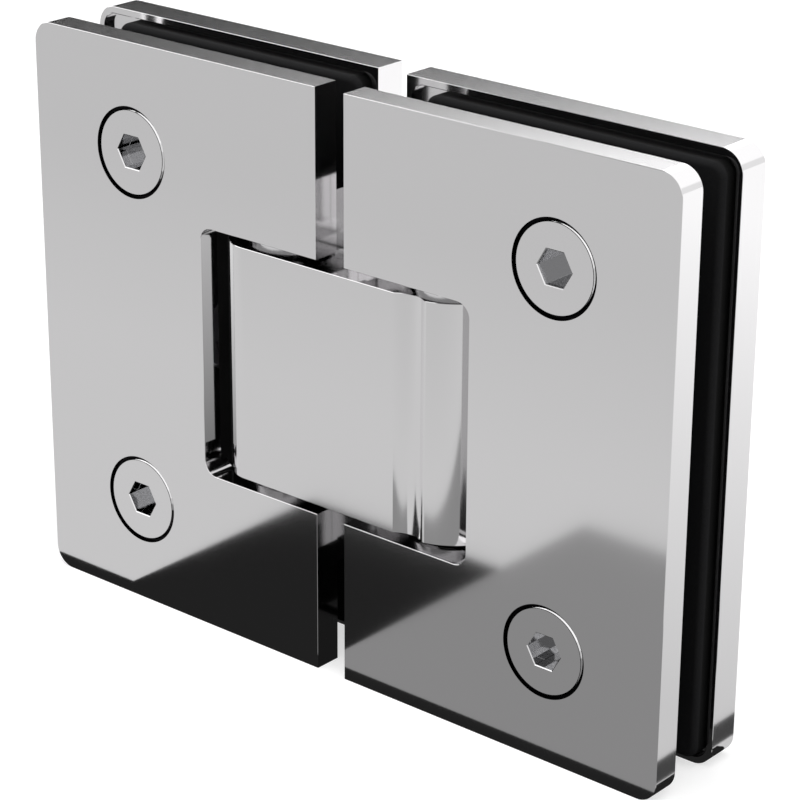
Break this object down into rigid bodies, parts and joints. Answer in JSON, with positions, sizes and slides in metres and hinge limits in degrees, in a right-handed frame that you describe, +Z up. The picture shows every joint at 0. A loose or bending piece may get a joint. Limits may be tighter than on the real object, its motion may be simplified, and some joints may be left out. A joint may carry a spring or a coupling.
{
  "type": "glass door hinge",
  "caption": "Chromed glass-to-glass door hinge: two pairs of clamp plates with rubber pads, joined by a pivot block on a vertical spindle, swinging both ways.",
  "frame": {"origin": "centre of the closed hinge: middle of the gap between the two pairs of plates, middle of the thickness and of the height", "axes": "+Z up along the spindle, +X from the fixed pair towards the door pair, -Y out of the face with the screws"},
  "size_m": [0.1188, 0.0186, 0.09],
  "materials": {
    "polished_chrome_plate": "mirror polished chrome plating",
    "polished_chrome_block": "mirror polished chrome plating",
    "chrome_screw": "polished chrome plating, turned",
    "black_rubber": "smooth moulded black rubber",
    "clear_nylon": "natural moulded nylon",
    "ground_steel": "centreless ground stainless steel",
    "steel_bush": "turned and polished stainless steel",
    "spring_steel": "drawn spring steel wire",
    "turned_steel": "turned stainless steel",
    "black_oxide_steel": "blackened socket set screw steel"
  },
  "bodies": {
    "fixed_side": {"front_plate_left": "polished_chrome_plate", "rear_plate_left": "polished_chrome_plate", "pivot_block": "polished_chrome_block", "clamp_screw_left_upper": "chrome_screw", "clamp_screw_left_lower": "chrome_screw", "front_gasket_left": "black_rubber", "rear_gasket_left": "black_rubber", "glass_sleeve_left_upper": "clear_nylon", "glass_sleeve_left_lower": "clear_nylon", "fixed_pin_upper": "ground_steel", "fixed_pin_lower": "ground_steel", "bush_upper": "steel_bush", "bush_lower": "steel_bush", "spacer_upper": "clear_nylon", "spacer_lower": "clear_nylon", "plunger": "turned_steel", "adjusting_plug": "turned_steel", "plunger_spring": "spring_steel", "locking_screw_upper": "black_oxide_steel", "locking_screw_lower": "black_oxide_steel"},
    "door_side": {"front_plate_right": "polished_chrome_plate", "rear_plate_right": "polished_chrome_plate", "front_gasket_right": "black_rubber", "rear_gasket_right": "black_rubber", "clamp_screw_right_upper": "chrome_screw", "clamp_screw_right_lower": "chrome_screw", "glass_sleeve_right_upper": "clear_nylon", "glass_sleeve_right_lower": "clear_nylon", "spindle": "ground_steel"}
  },
  "joints": [
    {"name": "door_swing", "type": "hinge", "parent": "fixed_side", "child": "door_side", "pos_m": [0.0155, 0, 0], "axis": [0, 0, 1], "range_deg": [-90, 90]}
  ]
}
